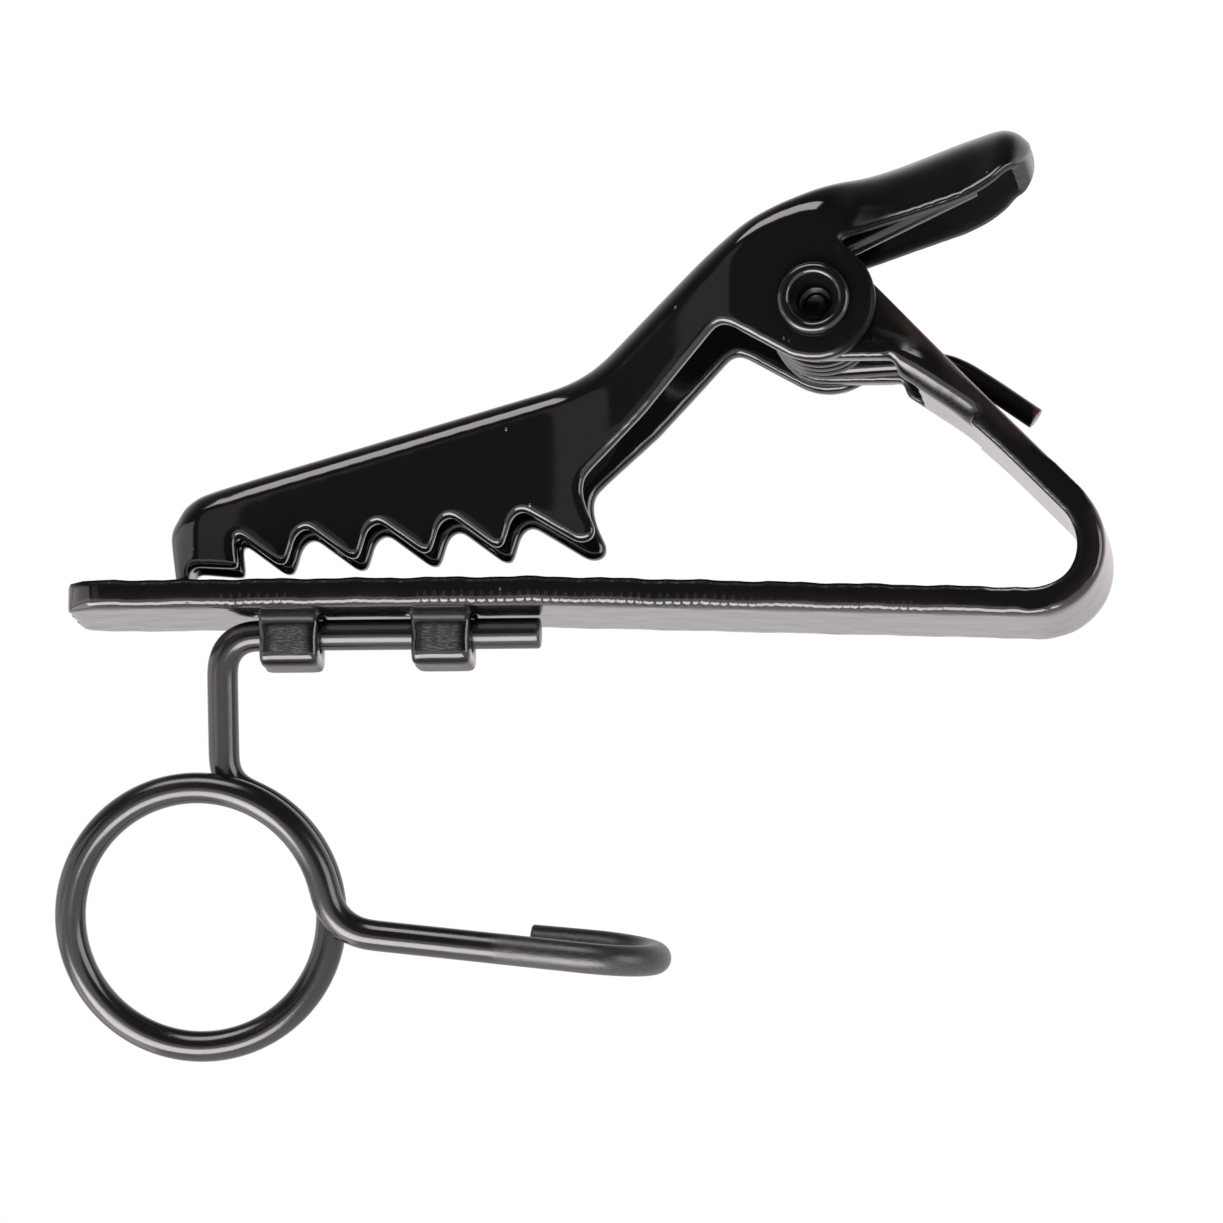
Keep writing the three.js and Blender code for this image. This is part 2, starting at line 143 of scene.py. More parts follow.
def set_coordinates(obj, co):
    obj.data.vertices.foreach_set("co", np.asarray(co, float).ravel())
    obj.data.update()


def ease_normals(mesh, passes):
    """Averages each vertex's shading normal with its neighbours', so that a thin highlight runs
    evenly. The shape stays as it is."""
    count = len(mesh.vertices)
    edges = np.empty(len(mesh.edges) * 2, int)
    mesh.edges.foreach_get("vertices", edges)
    first, second = edges.reshape(-1, 2).T
    values = np.empty(count * 3)
    mesh.vertices.foreach_get("normal", values)
    values = values.reshape(-1, 3)
    for _ in range(passes):
        total = values.copy()
        for axis in range(3):
            total[:, axis] += np.bincount(first, values[second, axis], count)
            total[:, axis] += np.bincount(second, values[first, axis], count)
        values = total / np.linalg.norm(total, axis=1)[:, None]
    mesh.normals_split_custom_set_from_vertices(values.tolist())


def finish_piece(obj, material, body, *nodes, eased=0):
    """Scales a millimetre mesh to metres, shades it and lets it stand for its CAD nodes."""
    obj.data.transform(Matrix.Scale(MM, 4))
    for polygon in obj.data.polygons:
        polygon.use_smooth = True
    if eased:
        ease_normals(obj.data, eased)
    obj.data.materials.clear()
    obj.data.materials.append(material)
    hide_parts(*nodes)
    if body:
        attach(obj, body)
    return obj


def fine_copy(node, name, voxel, rounds, reshape=None, softer=None, more=0):
    """A voxel remesh of a CAD solid, in millimetres, with its sharp edges rounded as lacquer is.
    reshape moves its vertices, and softer gives each a weight for more rounds of rounding."""
    mesh = frame["nodes"][node].data.copy()
    turned = Euler((0.54, 0.41, 0.3)).to_matrix().to_4x4()  # so that no edge runs along the voxels
    mesh.transform(turned @ Matrix.Scale(1 / MM, 4))
    obj = link(bpy.data.objects.new(name, mesh))
    weld = obj.modifiers.new("weld", "WELD")
    weld.merge_threshold = 0.001
    voxels = obj.modifiers.new("voxels", "REMESH")
    voxels.mode = "VOXEL"
    voxels.voxel_size = voxel
    soften(obj, rounds)
    apply_modifiers(obj)
    obj.data.transform(turned.inverted())
    if reshape:
        set_coordinates(obj, reshape(coordinates(obj)))
    if softer:
        weights = softer(coordinates(obj), normals(obj))
        group = obj.vertex_groups.new(name="softer")
        for level in range(1, 11):
            found = np.nonzero(np.round(weights * 10) == level)[0]
            group.add(found.tolist(), level / 10, "REPLACE")
        soften(obj, more).vertex_group = "softer"
        apply_modifiers(obj)
    return obj


def soften(obj, rounds):
    made = obj.modifiers.new("soften", "SMOOTH")
    made.factor = 0.5
    made.iterations = rounds
    return made


def normals(obj):
    values = np.empty(len(obj.data.vertices) * 3)
    obj.data.vertices.foreach_get("normal", values)
    return values.reshape(-1, 3)


def paint(obj, name, values):
    """Stores one number for each vertex, for a material to read."""
    layer = obj.data.attributes.new(name, "FLOAT", "POINT")
    layer.data.foreach_set("value", np.clip(values, 0, 1).astype(np.float32))


def ramp(x, low, high):
    """0 below low, 1 above high and smooth between them."""
    t = np.clip((np.asarray(x, float) - low) / (high - low), 0, 1)
    return t * t * (3 - 2 * t)


def arc(centre, radius, start, end, step=0.12):
    """Points on an arc in a plane, from angle start to angle end."""
    count = max(3, int(abs(end - start) * radius / step))
    angles = [start + (end - start) * i / count for i in range(count + 1)]
    return [(centre[0] + radius * math.cos(a), centre[1] + radius * math.sin(a)) for a in angles]


def even_line(points, step, passes):
    """A polyline with points every step, its kinks eased by a few smoothing passes."""
    points = np.array([tuple(p) for p in points], float)
    lengths = np.linalg.norm(np.diff(points, axis=0), axis=1)
    points = points[np.concatenate(([True], lengths > 1e-6))]
    run = np.concatenate(([0.0], np.cumsum(np.linalg.norm(np.diff(points, axis=0), axis=1))))
    at = np.linspace(0.0, run[-1], int(run[-1] / step) + 1)
    line = np.stack([np.interp(at, run, points[:, k]) for k in range(3)], axis=1)
    for _ in range(passes):
        line[1:-1] += 0.5 * ((line[:-2] + line[2:]) / 2 - line[1:-1])
    return line


def swept_wire(name, line, radius, sides=28, end_round=0.12):
    """A round wire along a line, with its cut ends slightly rounded. radius may vary along it."""
    radii = np.full(len(line), radius) if np.isscalar(radius) else np.asarray(radius)
    tangents = np.gradient(line, axis=0)
    tangents /= np.linalg.norm(tangents, axis=1)[:, None]
    side = np.cross(tangents[0], (0.31, 0.52, 0.79))
    side /= np.linalg.norm(side)
    mesh = bmesh.new()
    rings = []

    def ring(centre, normal, across, r):
        up = np.cross(normal, across)
        turn = [2 * math.pi * i / sides for i in range(sides)]
        return [mesh.verts.new(centre + r * (math.cos(t) * across + math.sin(t) * up)) for t in turn]

    def end_rings(centre, normal, across, r, outward):
        made = []
        for i in range(1, 5):
            a = i / 4 * math.pi / 2
            offset = outward * end_round * math.sin(a)
            made.append(ring(centre + normal * offset, normal, across, r - end_round * (1 - math.cos(a))))
        return made

    for i, (centre, normal) in enumerate(zip(line, tangents)):
        side = side - normal * np.dot(side, normal)
        side /= np.linalg.norm(side)
        if i == 0:
            rings += end_rings(centre, normal, side, radii[0], -1)[::-1]
        rings.append(ring(centre, normal, side, radii[i]))
    rings += end_rings(line[-1], tangents[-1], side, radii[-1], 1)
    for low, high in zip(rings, rings[1:]):
        for k in range(sides):
            mesh.faces.new((low[k], low[(k + 1) % sides], high[(k + 1) % sides], high[k]))
    mesh.faces.new(rings[0][::-1])
    mesh.faces.new(rings[-1])
    bmesh.ops.recalc_face_normals(mesh, faces=mesh.faces)
    data = bpy.data.meshes.new(name)
    mesh.to_mesh(data)
    mesh.free()
    return link(bpy.data.objects.new(name, data))


# ------------------------------------------------------------------ materials

def noise_node(tree, place, scale, detail=2.0, rough=0.5):
    made = tree.nodes.new("ShaderNodeTexNoise")
    made.inputs["Scale"].default_value = scale
    made.inputs["Detail"].default_value = detail
    made.inputs["Roughness"].default_value = rough
    tree.links.new(place, made.inputs["Vector"])
    return made.outputs["Fac"]


def span(tree, value, low, high, out_low, out_high, course="LINEAR"):
    """The value's range from low to high spread over out_low to out_high, and held outside it."""
    made = tree.nodes.new("ShaderNodeMapRange")
    made.interpolation_type = course
    made.inputs["From Min"].default_value = low
    made.inputs["From Max"].default_value = high
    made.inputs["To Min"].default_value = out_low
    made.inputs["To Max"].default_value = out_high
    tree.links.new(value, made.inputs["Value"])
    return made.outputs[0]


def combine(tree, operation, first, second):
    made = tree.nodes.new("ShaderNodeMath")
    made.operation = operation
    for socket, value in zip(made.inputs, (first, second)):
        if isinstance(value, (int, float)):
            socket.default_value = value
        else:
            tree.links.new(value, socket)
    return made.outputs[0]


def blend_colour(tree, share, first, second):
    """first where share is 0 and second where it is 1. Each is a colour or a socket."""
    made = tree.nodes.new("ShaderNodeMix")
    made.data_type = "RGBA"
    tree.links.new(share, made.inputs[0])
    for socket, value in zip((made.inputs[6], made.inputs[7]), (first, second)):
        if isinstance(value, tuple):
            socket.default_value = (*value, 1)
        else:
            tree.links.new(value, socket)
    return made.outputs[2]


def bump(tree, height, strength, distance, below=None):
    made = tree.nodes.new("ShaderNodeBump")
    made.inputs["Strength"].default_value = strength
    made.inputs["Distance"].default_value = distance * MM
    tree.links.new(height, made.inputs["Height"])
    if below:
        tree.links.new(below, made.inputs["Normal"])
    return made.outputs["Normal"]


def attribute(tree, name):
    made = tree.nodes.new("ShaderNodeAttribute")
    made.attribute_name = name
    return made.outputs["Fac"]


SCUFFED = (0.045, 0.044, 0.047)
SCRATCHED = (0.1, 0.1, 0.105)
DUSTY = (0.12, 0.12, 0.12)
FULL_SHINE = 1.0
# the reflection's level where painted shade is full: the reflection is turned down to stand in for shade
SHADED_SHINE = 0.03


def lacquer(name, base, edge, gloss, peel=0.012, ticks=False, with_painted_shade=False):
    """Black lacquer: dark gloss that is warmer and lighter on edges (edge wear, and on the strip also a
    painted highlight on its rounded outer edges), with an even fine ripple and a few specks of dust
    under it. Scuffed, hazy and worn places are painted on the piece. On some materials painted shade
    is painted on too: there the reflection is turned down and the lacquer made rougher."""
    material = bpy.data.materials.new(name)
    material.use_nodes = True
    tree = material.node_tree
    shader = tree.nodes["Principled BSDF"]
    shader.inputs["IOR"].default_value = 1.5
    shader.inputs["Specular IOR Level"].default_value = FULL_SHINE
    place = tree.nodes.new("ShaderNodeTexCoord").outputs["Object"]

    ripple = noise_node(tree, place, 0.75 / MM, 1.0)
    grain = noise_node(tree, place, 5.5 / MM, 3.0, 0.6)
    cloud = noise_node(tree, place, 0.35 / MM, 4.0)
    scuff = attribute(tree, "scuff")
    # edge: edge wear, and on the strip also a painted highlight on its rounded outer edges
    edge_wear_and_sheen = attribute(tree, "edge")

    # dust: a few small raised dots
    dots = tree.nodes.new("ShaderNodeTexVoronoi")
    dots.inputs["Scale"].default_value = 0.9 / MM
    tree.links.new(place, dots.inputs["Vector"])
    speck = span(tree, dots.outputs["Distance"], 0.03, 0.06, 1.0, 0.0)
    rare = tree.nodes.new("ShaderNodeSeparateColor")
    tree.links.new(dots.outputs["Color"], rare.inputs[0])
    speck = combine(tree, "MULTIPLY", speck, span(tree, rare.outputs[0], 0.6, 0.62, 0.0, 1.0))

    # scratches: long narrow marks inside the scuffed places
    stretch = tree.nodes.new("ShaderNodeMapping")
    stretch.inputs["Scale"].default_value = (0.35, 1.0, 1.3)
    tree.links.new(place, stretch.inputs["Vector"])
    marks = noise_node(tree, stretch.outputs[0], 13.0 / MM, 2.0, 0.5)
    marks = combine(tree, "MULTIPLY", scuff, span(tree, marks, 0.48, 0.6, 0.0, 1.0))

    warm = combine(tree, "MULTIPLY", edge_wear_and_sheen, span(tree, cloud, 0.35, 0.6, 0.45, 1.0))
    colour = blend_colour(tree, warm, base, edge)
    colour = blend_colour(tree, combine(tree, "MULTIPLY", scuff, 0.6), colour, SCUFFED)
    colour = blend_colour(tree, combine(tree, "MULTIPLY", marks, 0.6), colour, SCRATCHED)
    colour = blend_colour(tree, combine(tree, "MULTIPLY", speck, 0.35), colour, DUSTY)
    tree.links.new(colour, shader.inputs["Base Color"])

    duller = [(edge_wear_and_sheen, 0.1), (scuff, 0.22), (attribute(tree, "haze"), 0.22)]
    # painted shade: where it is painted, the reflection is turned down and the lacquer made rougher,
    # standing in for shade
    if with_painted_shade:
        painted_shade = attribute(tree, "painted_shade")
        duller.append((painted_shade, 0.2))
        shine = span(tree, painted_shade, 0.0, 1.0, FULL_SHINE, SHADED_SHINE)
        tree.links.new(shine, shader.inputs["Specular IOR Level"])
    rough = span(tree, cloud, 0.3, 0.7, gloss * 0.8, gloss * 1.3)
    for where, amount in duller:
        rough = combine(tree, "ADD", rough, combine(tree, "MULTIPLY", where, amount))
    tree.links.new(rough, shader.inputs["Roughness"])

    normal = bump(tree, ripple, 1.0, peel)
    normal = bump(tree, grain, 0.25, 0.003, normal)
    normal = bump(tree, speck, 0.6, 0.03, normal)
    normal = bump(tree, marks, 0.5, 0.012, normal)
    if ticks:
        normal = bump(tree, shear_ticks(tree, place), 0.72, 0.05, normal)
    tree.links.new(normal, shader.inputs["Normal"])
    return material


def noise_along(tree, run, scale, detail=2.0):
    """Noise that changes along one line only."""
    made = tree.nodes.new("ShaderNodeTexNoise")
    made.noise_dimensions = "1D"
    made.inputs["Scale"].default_value = scale
    made.inputs["Detail"].default_value = detail
    tree.links.new(run, made.inputs["W"])
    return made.outputs["Fac"]


def shear_ticks(tree, place):
    """Short upright marks like those a shear leaves along a cut edge, stronger in some stretches."""
    spacing = 0.36 * MM
    parts = tree.nodes.new("ShaderNodeSeparateXYZ")
    tree.links.new(place, parts.inputs[0])
    run = parts.outputs["X"]
    uneven = combine(tree, "MULTIPLY", noise_along(tree, run, 0.9 / MM, 3.0), 6.0)
    phase = combine(tree, "ADD", combine(tree, "MULTIPLY", run, 2 * math.pi / spacing), uneven)
    wave = span(tree, combine(tree, "SINE", phase, 0.0), -1.0, 1.0, 0.0, 1.0)
    strength = span(tree, noise_along(tree, run, 0.16 / MM), 0.4, 0.6, 0.25, 1.0)
    wave = combine(tree, "MULTIPLY", wave, strength)
    return combine(tree, "MULTIPLY", wave, attribute(tree, "cut"))


BLACK = (0.0045, 0.0045, 0.0055)
strip_lacquer = lacquer("strip_lacquer", BLACK, (0.032, 0.021, 0.017), 0.1, 0.02, True, True)
jaw_lacquer = lacquer("jaw_lacquer", BLACK, (0.012, 0.011, 0.011), 0.095, with_painted_shade=True)
rivet_lacquer = lacquer("rivet_lacquer", (0.006, 0.006, 0.007), (0.02, 0.018, 0.017), 0.12,
                        with_painted_shade=True)
wire_lacquer = lacquer("wire_lacquer", (0.007, 0.0065, 0.0075), (0.02, 0.017, 0.016), 0.18, 0.008)
spring_black = lacquer("spring_black", (0.006, 0.0055, 0.006), (0.09, 0.035, 0.028), 0.15, 0.006)


# ------------------------------------------------------------------ strip and jaw

LOOP_CENTRE = np.array((13.0, 4.2))
LUG_STARTS = (-6.5, -0.6)
LUG_WIDTH = 2.3
EAR_STEP = 0.36  # how far the ears' outer faces stand back from the folded band
BAND_X = (16.6, 17.5, 18.5, 19.5, 20.1, 20.7, 22.3)
BAND_Z = (9.55, 9.15, 8.78, 8.42, 8.1, 7.66, 6.5)  # the band's upper side at each BAND_X
EDGE_WAVES = ((0.022, 1.9, 0.0), (0.014, 4.7, 1.0))  # height, turn per millimetre, start
FAR = 9.0  # more than any distance that a mask asks about


def strip_outward(co, normal):
    """How far each vertex looks away from the middle of the strip's loop: -1 to 1."""
    away = co[:, (0, 2)] - LOOP_CENTRE
    away[:, 0] = np.clip(away[:, 0] * 0.3, -0.5, None) + ramp(co[:, 0], 21, 25) * 6
    away /= np.linalg.norm(away, axis=1)[:, None]
    return np.sum(away * normal[:, (0, 2)], axis=1)


def distance_to(co, chosen, limit):
    """Each vertex's distance from the nearest chosen one, or FAR where |Y| is within the limit."""
    places = np.nonzero(chosen)[0]
    tree = KDTree(len(places))
    for i in places:
        tree.insert(co[i], int(i))
    tree.balance()
    found = np.full(len(co), FAR)
    for i in np.nonzero(np.abs(co[:, 1]) > limit)[0]:
        found[i] = tree.find(co[i])[2]
    return found


def shape_strip(co):
    """Moves the ears' outer faces in, behind the rounded band where the sheet folds up, and makes
    the plate's sheared edges slightly wavy."""
    above = ramp(co[:, 2] - np.interp(co[:, 0], BAND_X, BAND_Z), -0.12, 0.32)
    outer = ramp(np.abs(co[:, 1]), 2.4, 3.1) * ramp(co[:, 0], 12, 13)
    co[:, 1] -= np.sign(co[:, 1]) * EAR_STEP * above * outer
    wave = sum(height * np.sin(turn * co[:, 0] + start) for height, turn, start in EDGE_WAVES)
    co[:, 2] += wave * ramp(np.abs(co[:, 1]), 2.7, 3.2) * ramp(-co[:, 2], -3, -1)
    return co


def strip_side_edge(co):
    """1 at the strip's two long sides and 0 inside them."""
    return ramp(np.abs(co[:, 1]), 2.4, 2.9)


def strip_softer(co, normal):
    """How much more each vertex is rounded: the strip's outer edges are rounder than its inner ones,
    and so are the lugs' lower parts."""
    outer = (strip_outward(co, normal) > 0.75) & (np.abs(co[:, 1]) > 2.6)
    lugs = ramp(-co[:, 2], 1.3, 1.6) * (co[:, 0] < 3)
    edge = ramp(-distance_to(co, outer, 2.3), -0.75, -0.25) * strip_side_edge(co) * (1 - lugs)
    return np.maximum(edge, 0.6 * ramp(-co[:, 2], 1.5, 1.9))


def strip_wear_and_shade(obj):
    """Paints the strip's warm, lighter outer edges (edge wear and a painted highlight), shear marks,
    scuffed lugs and fold, and painted shade where the reflection is turned down: along the lower
    inner edges, on the lugs' flares and bottoms and along the fold band.
    """
    co, normal = coordinates(obj), normals(obj)
    side = np.abs(normal[:, 1])
    facing = strip_outward(co, normal)
    outer = distance_to(co, (facing > 0.8) & (np.abs(co[:, 1]) > 2.5), 2.3)
    inner = distance_to(co, (facing < -0.8) & (np.abs(co[:, 1]) > 2.5), 2.3)
    plate = ramp(-co[:, 2], -3, -1)
    # warm, lighter outer edges: edge wear, and a painted highlight on their rounding
    paint(obj, "edge", ramp(-outer, -0.7, -0.1) * ramp(side, 0.1, 0.5) * (1 - 0.6 * plate))
    paint(obj, "cut", ramp(-outer, -0.62, -0.3) * ramp(side, 0.3, 0.8) * plate
          * ramp(co[:, 0], -9.5, -7) * ramp(-co[:, 0], -22, -20))

    lug = np.zeros(len(co))
    for start in LUG_STARTS:
        middle = start + LUG_WIDTH / 2
        across = ramp(-np.abs(co[:, 0] - middle), -0.95, -0.55)
        lug = np.maximum(lug, across * ramp(-co[:, 2], 1.45, 1.7) * ramp(co[:, 2], -2.75, -2.5))
    lug *= ramp(side, 0.7, 0.95)
    fold = ramp(co[:, 0], 18.2, 19.2) * ramp(-co[:, 0], -23.4, -21) * ramp(co[:, 2], 4.6, 6.2)
    fold *= ramp(-inner, -0.6, -0.1) * ramp(side, 0.1, 0.4)
    paint(obj, "scuff", np.maximum(lug * 0.7, fold * 0.2))
    paint(obj, "haze", lug * 0.7)
    # painted shade: the reflection is turned down along the lower inner edges, on the lugs' flares and
    # bottoms and along the fold band
    inner_edge_shade = ramp(-inner, -0.3, -0.12) * ramp(-co[:, 2], -4.5, -3)
    flare = ramp(-co[:, 2], 0.95, 1.1) * ramp(co[:, 2], -1.5, -1.3) * (np.abs(co[:, 1]) < 2.2)
    lug_shade = np.maximum(0.75 * flare * ramp(side, 0.15, 0.4), 0.85 * ramp(-co[:, 2], 2.8, 3.0))
    band = fold * (0.45 + 0.45 * ramp(co[:, 0], 19.2, 20.6))
    paint(obj, "painted_shade", np.maximum.reduce([inner_edge_shade, lug_shade, band]))


strip = fine_copy("base_strip", "strip_lacquered", 0.09, 14, shape_strip, strip_softer, 70)
strip_wear_and_shade(strip)
finish_piece(strip, strip_lacquer, "strip", "base_strip", eased=3)


def jaw_wear_and_shade(obj):
    """Paints the jaw's warm edges, its scuffed end, and painted shade inside the handle and at its root,
    where the reflection is turned down.
    """
    co, normal = coordinates(obj), normals(obj)
    paint(obj, "edge", ramp(np.abs(normal[:, 1]), 0.2, 0.5) * ramp(-np.abs(normal[:, 1]), -0.9, -0.6))
    end = ramp(co[:, 0], 22.0, 22.6) * ramp(normal[:, 0], 0.2, 0.8)
    paint(obj, "scuff", end * 0.6)
    inward = ramp(-normal[:, 1] * np.sign(co[:, 1]), 0.05, 0.3)
    under = ramp(-normal[:, 2], 0.3, 0.6)
    inside = ramp(co[:, 0], 15.5, 17) * np.maximum(inward, under)
    root = ramp(co[:, 0], 15.8, 16.4) * ramp(-co[:, 0], -18.8, -17.6) * ramp(-co[:, 2], -14.6, -14.0)
    # painted shade: the reflection is turned down inside the handle and at its root
    paint(obj, "painted_shade", np.maximum(inside, 0.9 * root * ramp(np.abs(co[:, 1]), 3.2, 3.5)))


jaw = fine_copy("jaw", "jaw_lacquered", 0.085, 48)
jaw_wear_and_shade(jaw)
finish_piece(jaw, jaw_lacquer, "toothed_jaw", "jaw", eased=5)


# ------------------------------------------------------------------ rivet

def rivet():
    """A semi-tubular rivet: its near end has a blind bore with a smaller pip at the bottom and is
    rolled out into a collar; its far end is a low domed head."""
    r = RIVET
    top = r["seat"] + r["collar"]
    rim = r["seat"] + r["far_rim"]
    floor = top - r["bore_depth"]
    half = [(0.0, floor - 0.1), (r["pip"] - 0.05, floor - 0.1), (r["pip"], floor - 0.05)]
    half += [(r["pip"], floor), (r["pip"] + 0.05, floor + 0.04), (r["bore"] - 0.05, floor + 0.04)]
    half += [(r["bore"], floor + 0.1), (r["bore"], top - 0.62), (r["bore"] + 0.06, top - 0.48)]
    half += arc((r["mouth"] + 0.14, top - 0.2), 0.2, 0.93 * math.pi, 0.5 * math.pi, 0.02)
    half += arc((r["flange"] - 0.22, top - 0.22), 0.22, 0.5 * math.pi, 0.0, 0.02)
    half += [(r["flange"], r["seat"]), (r["radius"], r["seat"])]
    profile = [(radius, -y) for radius, y in half]
    profile += [(r["radius"], r["seat"]), (r["far_head"], r["seat"]), (r["far_head"], rim)]
    profile += [(r["far_head"] * math.cos(t), rim + r["far_dome"] * math.sin(t))
                for t in (math.pi / 2 * i / 10 for i in range(1, 10))]
    profile += [(0.0, rim + r["far_dome"])]
    sides = 96
    mesh = bmesh.new()
    rings = []
    for radius, y in profile:
        turn = [2 * math.pi * i / sides for i in range(sides)] if radius else [0.0]
        rings.append([mesh.verts.new((PIVOT.x + radius * math.cos(a), y, PIVOT.z + radius * math.sin(a)))
                      for a in turn])
    for low, high in zip(rings, rings[1:]):
        for k in range(sides):
            n = (k + 1) % sides
            corners = [low[k % len(low)], low[n % len(low)], high[n % len(high)], high[k % len(high)]]
            mesh.faces.new(list(dict.fromkeys(corners)))
    bmesh.ops.recalc_face_normals(mesh, faces=mesh.faces)
    data = bpy.data.meshes.new("rivet_set")
    mesh.to_mesh(data)
    mesh.free()
    return link(bpy.data.objects.new("rivet_set", data))


rivet_piece = rivet()
place = coordinates(rivet_piece)
reach = np.hypot(place[:, 0] - PIVOT.x, place[:, 2] - PIVOT.z)
# painted shade: the reflection is turned down inside the bore
paint(rivet_piece, "painted_shade", 0.55 * ramp(-reach, -0.78, -0.7))
finish_piece(rivet_piece, rivet_lacquer, "strip", "pivot_rivet")


# ------------------------------------------------------------------ spring

def spring_line():
    """The spring's line: the leg on the arm, the coil round the rivet and the leg in the handle."""
    s = SPRING
    points = [(23.35, s["arm_leg"], 6.72), (21.8, s["arm_leg"], 7.8), (20.7, s["arm_leg"], 8.52),
              (20.0, s["arm_leg"], 8.84), (19.2, s["arm_leg"], 8.95), (17.5, s["arm_leg"], 8.88)]
    turn = math.pi - s["handle_angle"] + 2 * math.pi * s["full_turns"]
    count = 200
    for i in range(count + 1):
        swept = turn * i / count
        angle = 1.5 * math.pi - swept
        points.append((PIVOT.x + s["coil_radius"] * math.cos(angle),
                       s["arm_leg"] - s["pitch"] * swept / (2 * math.pi),
                       PIVOT.z + s["coil_radius"] * math.sin(angle)))
    x, y, z = points[-1]
    reach = s["handle_length"]
    points.append((x + reach * math.cos(s["handle_angle"]), y, z + reach * math.sin(s["handle_angle"])))
    return even_line(points, 0.09, 12)


spring = swept_wire("torsion_spring_wire", spring_line(), SPRING["wire"] / 2, 24, 0.05)
paint(spring, "edge", ramp(coordinates(spring)[:, 0], 23.25, 23.36))
finish_piece(spring, spring_black, None, "torsion_spring")
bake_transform(spring)


# ------------------------------------------------------------------ microphone holder

def holder_line():
    """The wire's line, drawn hanging straight down (x, towards -Y, height above the shaft) and
    then swivelled about the shaft."""
    h = HOLDER
    ring = (h["ring_x"], -h["ring_drop"])
    path = [(h["shaft_end"], 0.0, 0.0)]
    bend = (h["stem_x"] + h["shaft_bend"], -h["shaft_bend"])
    path += [(x, 0.0, z) for x, z in arc(bend, h["shaft_bend"], math.pi / 2, math.pi)]
    reach = h["ring_radius"] + h["stem_bend"]
    meet = math.acos((h["stem_x"] + h["stem_bend"] - h["ring_x"]) / reach)
    stem = (ring[0] + reach * math.cos(meet), ring[1] + reach * math.sin(meet))
    path += [(x, 0.0, z) for x, z in arc(stem, h["stem_bend"], math.pi, math.pi + meet)]
    turn = 2 * math.pi + meet - h["arm_angle"]
    lift = h["ring_pitch"] * turn / (2 * math.pi)
    loop = arc(ring, h["ring_radius"], meet, meet - turn)
    path += [(x, lift * i / len(loop), z) for i, (x, z) in enumerate(loop)]
    reach = h["ring_radius"] + h["arm_bend"]
    arm = (ring[0] + reach * math.cos(h["arm_angle"]), ring[1] + reach * math.sin(h["arm_angle"]))
    path += [(x, lift, z) for x, z in arc(arm, h["arm_bend"], math.pi + h["arm_angle"],
                                          1.5 * math.pi - h["arm_slope"])]
    start = path[-1]
    fall = math.tan(h["arm_slope"])
    for i in range(41):
        angle = math.pi / 2 - math.pi * i / 40
        x = h["hook_x"] + h["hook_radius"] * math.cos(angle)
        out = lift - h["hook_radius"] + h["hook_radius"] * math.sin(angle)
        path.append((x, out, start[2] - (x - start[0]) * fall))
    path.append((h["hook_x"] - 1, path[-1][1], path[-1][2] + 0.1))
    path.append((h["hook_end"], path[-1][1], path[-1][2] + 0.15))
    line = even_line(path, 0.1, 20)
    spin = np.array(Matrix.Rotation(h["swivel"], 3, "X"))
    line = np.stack([line[:, 0], -line[:, 1], line[:, 2]], axis=1) @ spin.T
    return line + np.array((0.0, 0.0, h["shaft_z"]))


holder = swept_wire("microphone_holder_wire", holder_line(), HOLDER["wire"] / 2, 32)
along = coordinates(holder)
hook = ramp(along[:, 0], 2.1, 2.9) * ramp(-along[:, 2], 9.0, 9.6)
paint(holder, "haze", 0.5 * hook)
paint(holder, "scuff", 0.3 * hook)
paint(holder, "edge", ramp(along[:, 0], 4.1, 4.25) * ramp(along[:, 2], -3.0, -2.6))
finish_piece(holder, wire_lacquer, "wire_holder", "microphone_holder")


# ------------------------------------------------------------------ camera

def direction(azimuth, elevation):
    """Unit vector towards a place round the object: azimuth 0 is -Y, 90 is +X."""
    a, e = math.radians(azimuth), math.radians(elevation)
    return Vector((math.sin(a) * math.cos(e), -math.cos(a) * math.cos(e), math.sin(e)))


heading = math.radians(CAMERA["azimuth"])
camera_back = direction(CAMERA["azimuth"], CAMERA["elevation"])
camera_right = Vector((math.cos(heading), math.sin(heading), 0))
camera_up = camera_back.cross(camera_right)
roll = CAMERA["roll"]
turned_right = camera_right * math.cos(roll) + camera_up * math.sin(roll)
turned_up = camera_up * math.cos(roll) - camera_right * math.sin(roll)
camera_data = bpy.data.cameras.new("camera")
camera_data.lens = CAMERA["lens"]
camera_data.sensor_width = CAMERA["sensor"]
camera_data.clip_start = 0.05
camera_data.clip_end = 20
camera = link(bpy.data.objects.new("camera", camera_data))
axes = Matrix((turned_right, turned_up, camera_back)).transposed()
camera.matrix_world = Matrix.Translation(Vector(CAMERA["place"]) * MM) @ axes.to_4x4()
bpy.context.scene.camera = camera


# ------------------------------------------------------------------ light and set

STUDIO_TINT = (1.0, 0.935, 0.985)

# name, azimuth, elevation, width and height in degrees, radiance
SOFTBOXES = (
    ("low_left_box", -25, -50, 62, 32, 6.5),
    ("low_side_box", -85, -48, 70, 40, 1.3),
    ("right_strip", 60, 4, 34, 32, 2.9),
    ("high_box", -19, 53, 38, 26, 4),
    ("left_wall", -76, 0, 66, 36, 0.8),
    ("left_front", -26, 6, 15, 40, 0.2),
)


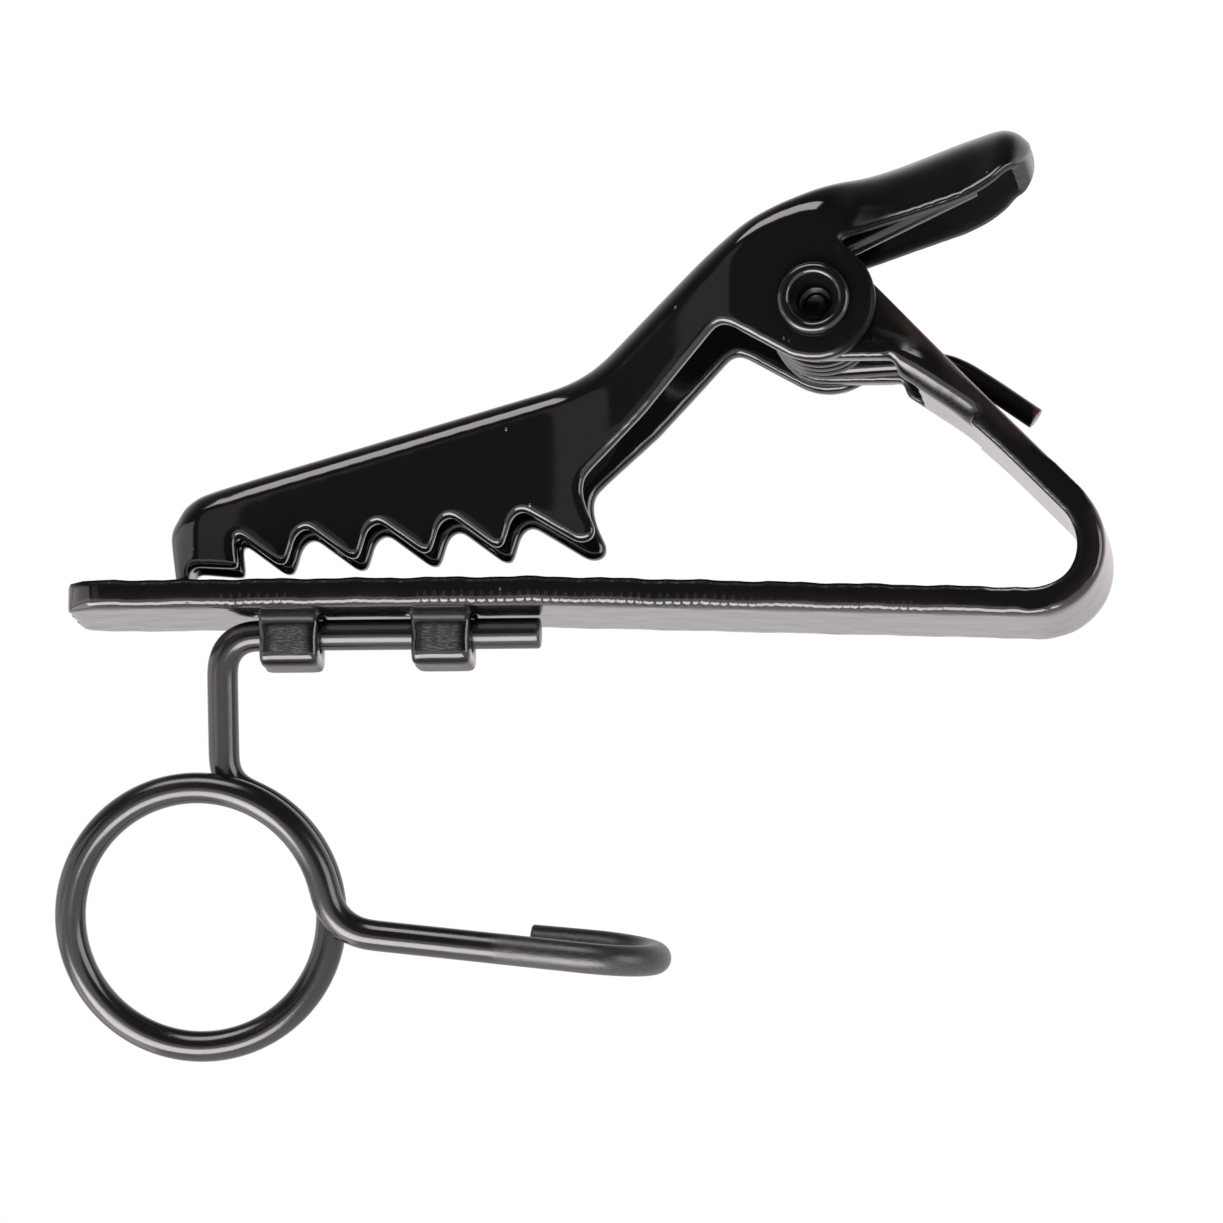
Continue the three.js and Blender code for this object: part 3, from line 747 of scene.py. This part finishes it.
def softbox(name, azimuth, elevation, width, height, radiance, distance=0.9):
    """A soft lamp that covers width by height degrees, seen from the object."""
    size_x = 2 * distance * math.tan(math.radians(width / 2))
    size_y = 2 * distance * math.tan(math.radians(height / 2))
    lamp = bpy.data.lights.new(name, "AREA")
    lamp.shape = "RECTANGLE"
    lamp.size, lamp.size_y = size_x, size_y
    lamp.energy = radiance * math.pi * size_x * size_y
    lamp.color = STUDIO_TINT
    obj = link(bpy.data.objects.new(name, lamp))
    towards = direction(azimuth, elevation)
    obj.location = towards * distance
    obj.rotation_mode = "QUATERNION"
    obj.rotation_quaternion = (-towards).to_track_quat("-Z", "Y")
    obj.visible_camera = False
    return obj


for box in SOFTBOXES:
    softbox(*box)


def world():
    """A plain white backdrop where the camera looks straight at it. The light it gives is bright
    behind the object (+Y), dim in front of it and dark overhead."""
    made = bpy.data.worlds.new("studio")
    made.use_nodes = True
    tree = made.node_tree
    tree.nodes.clear()
    out = tree.nodes.new("ShaderNodeOutputWorld")
    place = tree.nodes.new("ShaderNodeTexCoord")
    split = tree.nodes.new("ShaderNodeSeparateXYZ")
    tree.links.new(place.outputs["Generated"], split.inputs[0])
    behind = span(tree, split.outputs["Y"], -0.55, 0.75, 0.02, 0.95, "SMOOTHSTEP")
    overhead = span(tree, split.outputs["Z"], 0.55, 0.97, 1.0, 0.12, "SMOOTHSTEP")
    around = tree.nodes.new("ShaderNodeBackground")
    tree.links.new(combine(tree, "MULTIPLY", behind, overhead), around.inputs["Strength"])
    around.inputs["Color"].default_value = (*STUDIO_TINT, 1)
    seen = tree.nodes.new("ShaderNodeBackground")
    seen.inputs["Color"].default_value = (1, 1, 1, 1)
    seen.inputs["Strength"].default_value = 1.0
    path = tree.nodes.new("ShaderNodeLightPath")
    mix = tree.nodes.new("ShaderNodeMixShader")
    tree.links.new(path.outputs["Is Camera Ray"], mix.inputs[0])
    tree.links.new(around.outputs[0], mix.inputs[1])
    tree.links.new(seen.outputs[0], mix.inputs[2])
    tree.links.new(mix.outputs[0], out.inputs["Surface"])
    bpy.context.scene.world = made


def floor():
    """A plain pale floor well below the object."""
    half = 6.0
    drop = 1.1
    mesh = bpy.data.meshes.new("floor")
    corners = [(-half, -half, 0), (half, -half, 0), (half, half, 0), (-half, half, 0)]
    mesh.from_pydata(corners, [], [(0, 1, 2, 3)])
    obj = link(bpy.data.objects.new("floor", mesh))
    obj.location.z = -drop
    material = bpy.data.materials.new("pale_floor")
    material.use_nodes = True
    shader = material.node_tree.nodes["Principled BSDF"]
    shader.inputs["Base Color"].default_value = (0.85, 0.85, 0.86, 1)
    shader.inputs["Roughness"].default_value = 0.7
    shader.inputs["Emission Color"].default_value = (1, 1, 1, 1)
    shader.inputs["Emission Strength"].default_value = 0.5
    mesh.materials.append(material)


world()
floor()
bpy.context.scene.view_settings.view_transform = "Standard"
